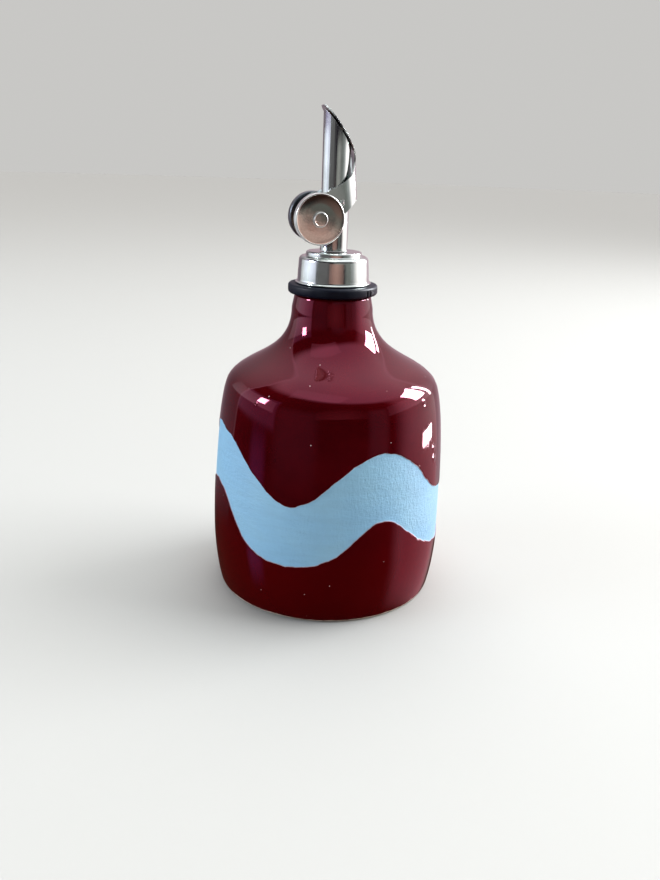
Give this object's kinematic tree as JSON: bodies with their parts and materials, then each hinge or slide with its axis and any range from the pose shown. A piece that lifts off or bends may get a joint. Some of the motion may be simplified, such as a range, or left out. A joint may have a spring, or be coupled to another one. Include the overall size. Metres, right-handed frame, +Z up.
{
  "type": "ceramic oil bottle",
  "caption": "Squat glazed ceramic oil bottle with a rubber collar, a stainless cap, a slant-cut pouring tube and a weighted hinged flap.",
  "frame": {"origin": "centre of the flat base, on the surface the bottle stands on", "axes": "+Z up along the bottle's axis, -X towards the side the spout pours to, -Y towards the near weight"},
  "size_m": [0.0806, 0.0806, 0.1611],
  "materials": {
    "burgundy_glaze": "high-gloss burgundy glaze on stoneware",
    "navy_rubber": "matte navy-black rubber",
    "polished_steel": "polished stainless steel",
    "worn_steel": "worn stainless steel with a soft sheen"
  },
  "bodies": {
    "bottle_body": {"bottle": "burgundy_glaze", "collar": "navy_rubber", "cap": "polished_steel", "tube": "polished_steel", "pin_near": "polished_steel", "pin_far": "polished_steel"},
    "flap_body": {"flap": "polished_steel", "weight_near": "worn_steel", "weight_far": "worn_steel", "rivet_near": "polished_steel", "rivet_far": "polished_steel"}
  },
  "joints": [
    {"name": "flap_hinge", "type": "hinge", "parent": "bottle_body", "child": "flap_body", "pos_m": [0.0002, 0, 0.1322], "axis": [0, 1, 0], "range_deg": [0, 45]}
  ]
}
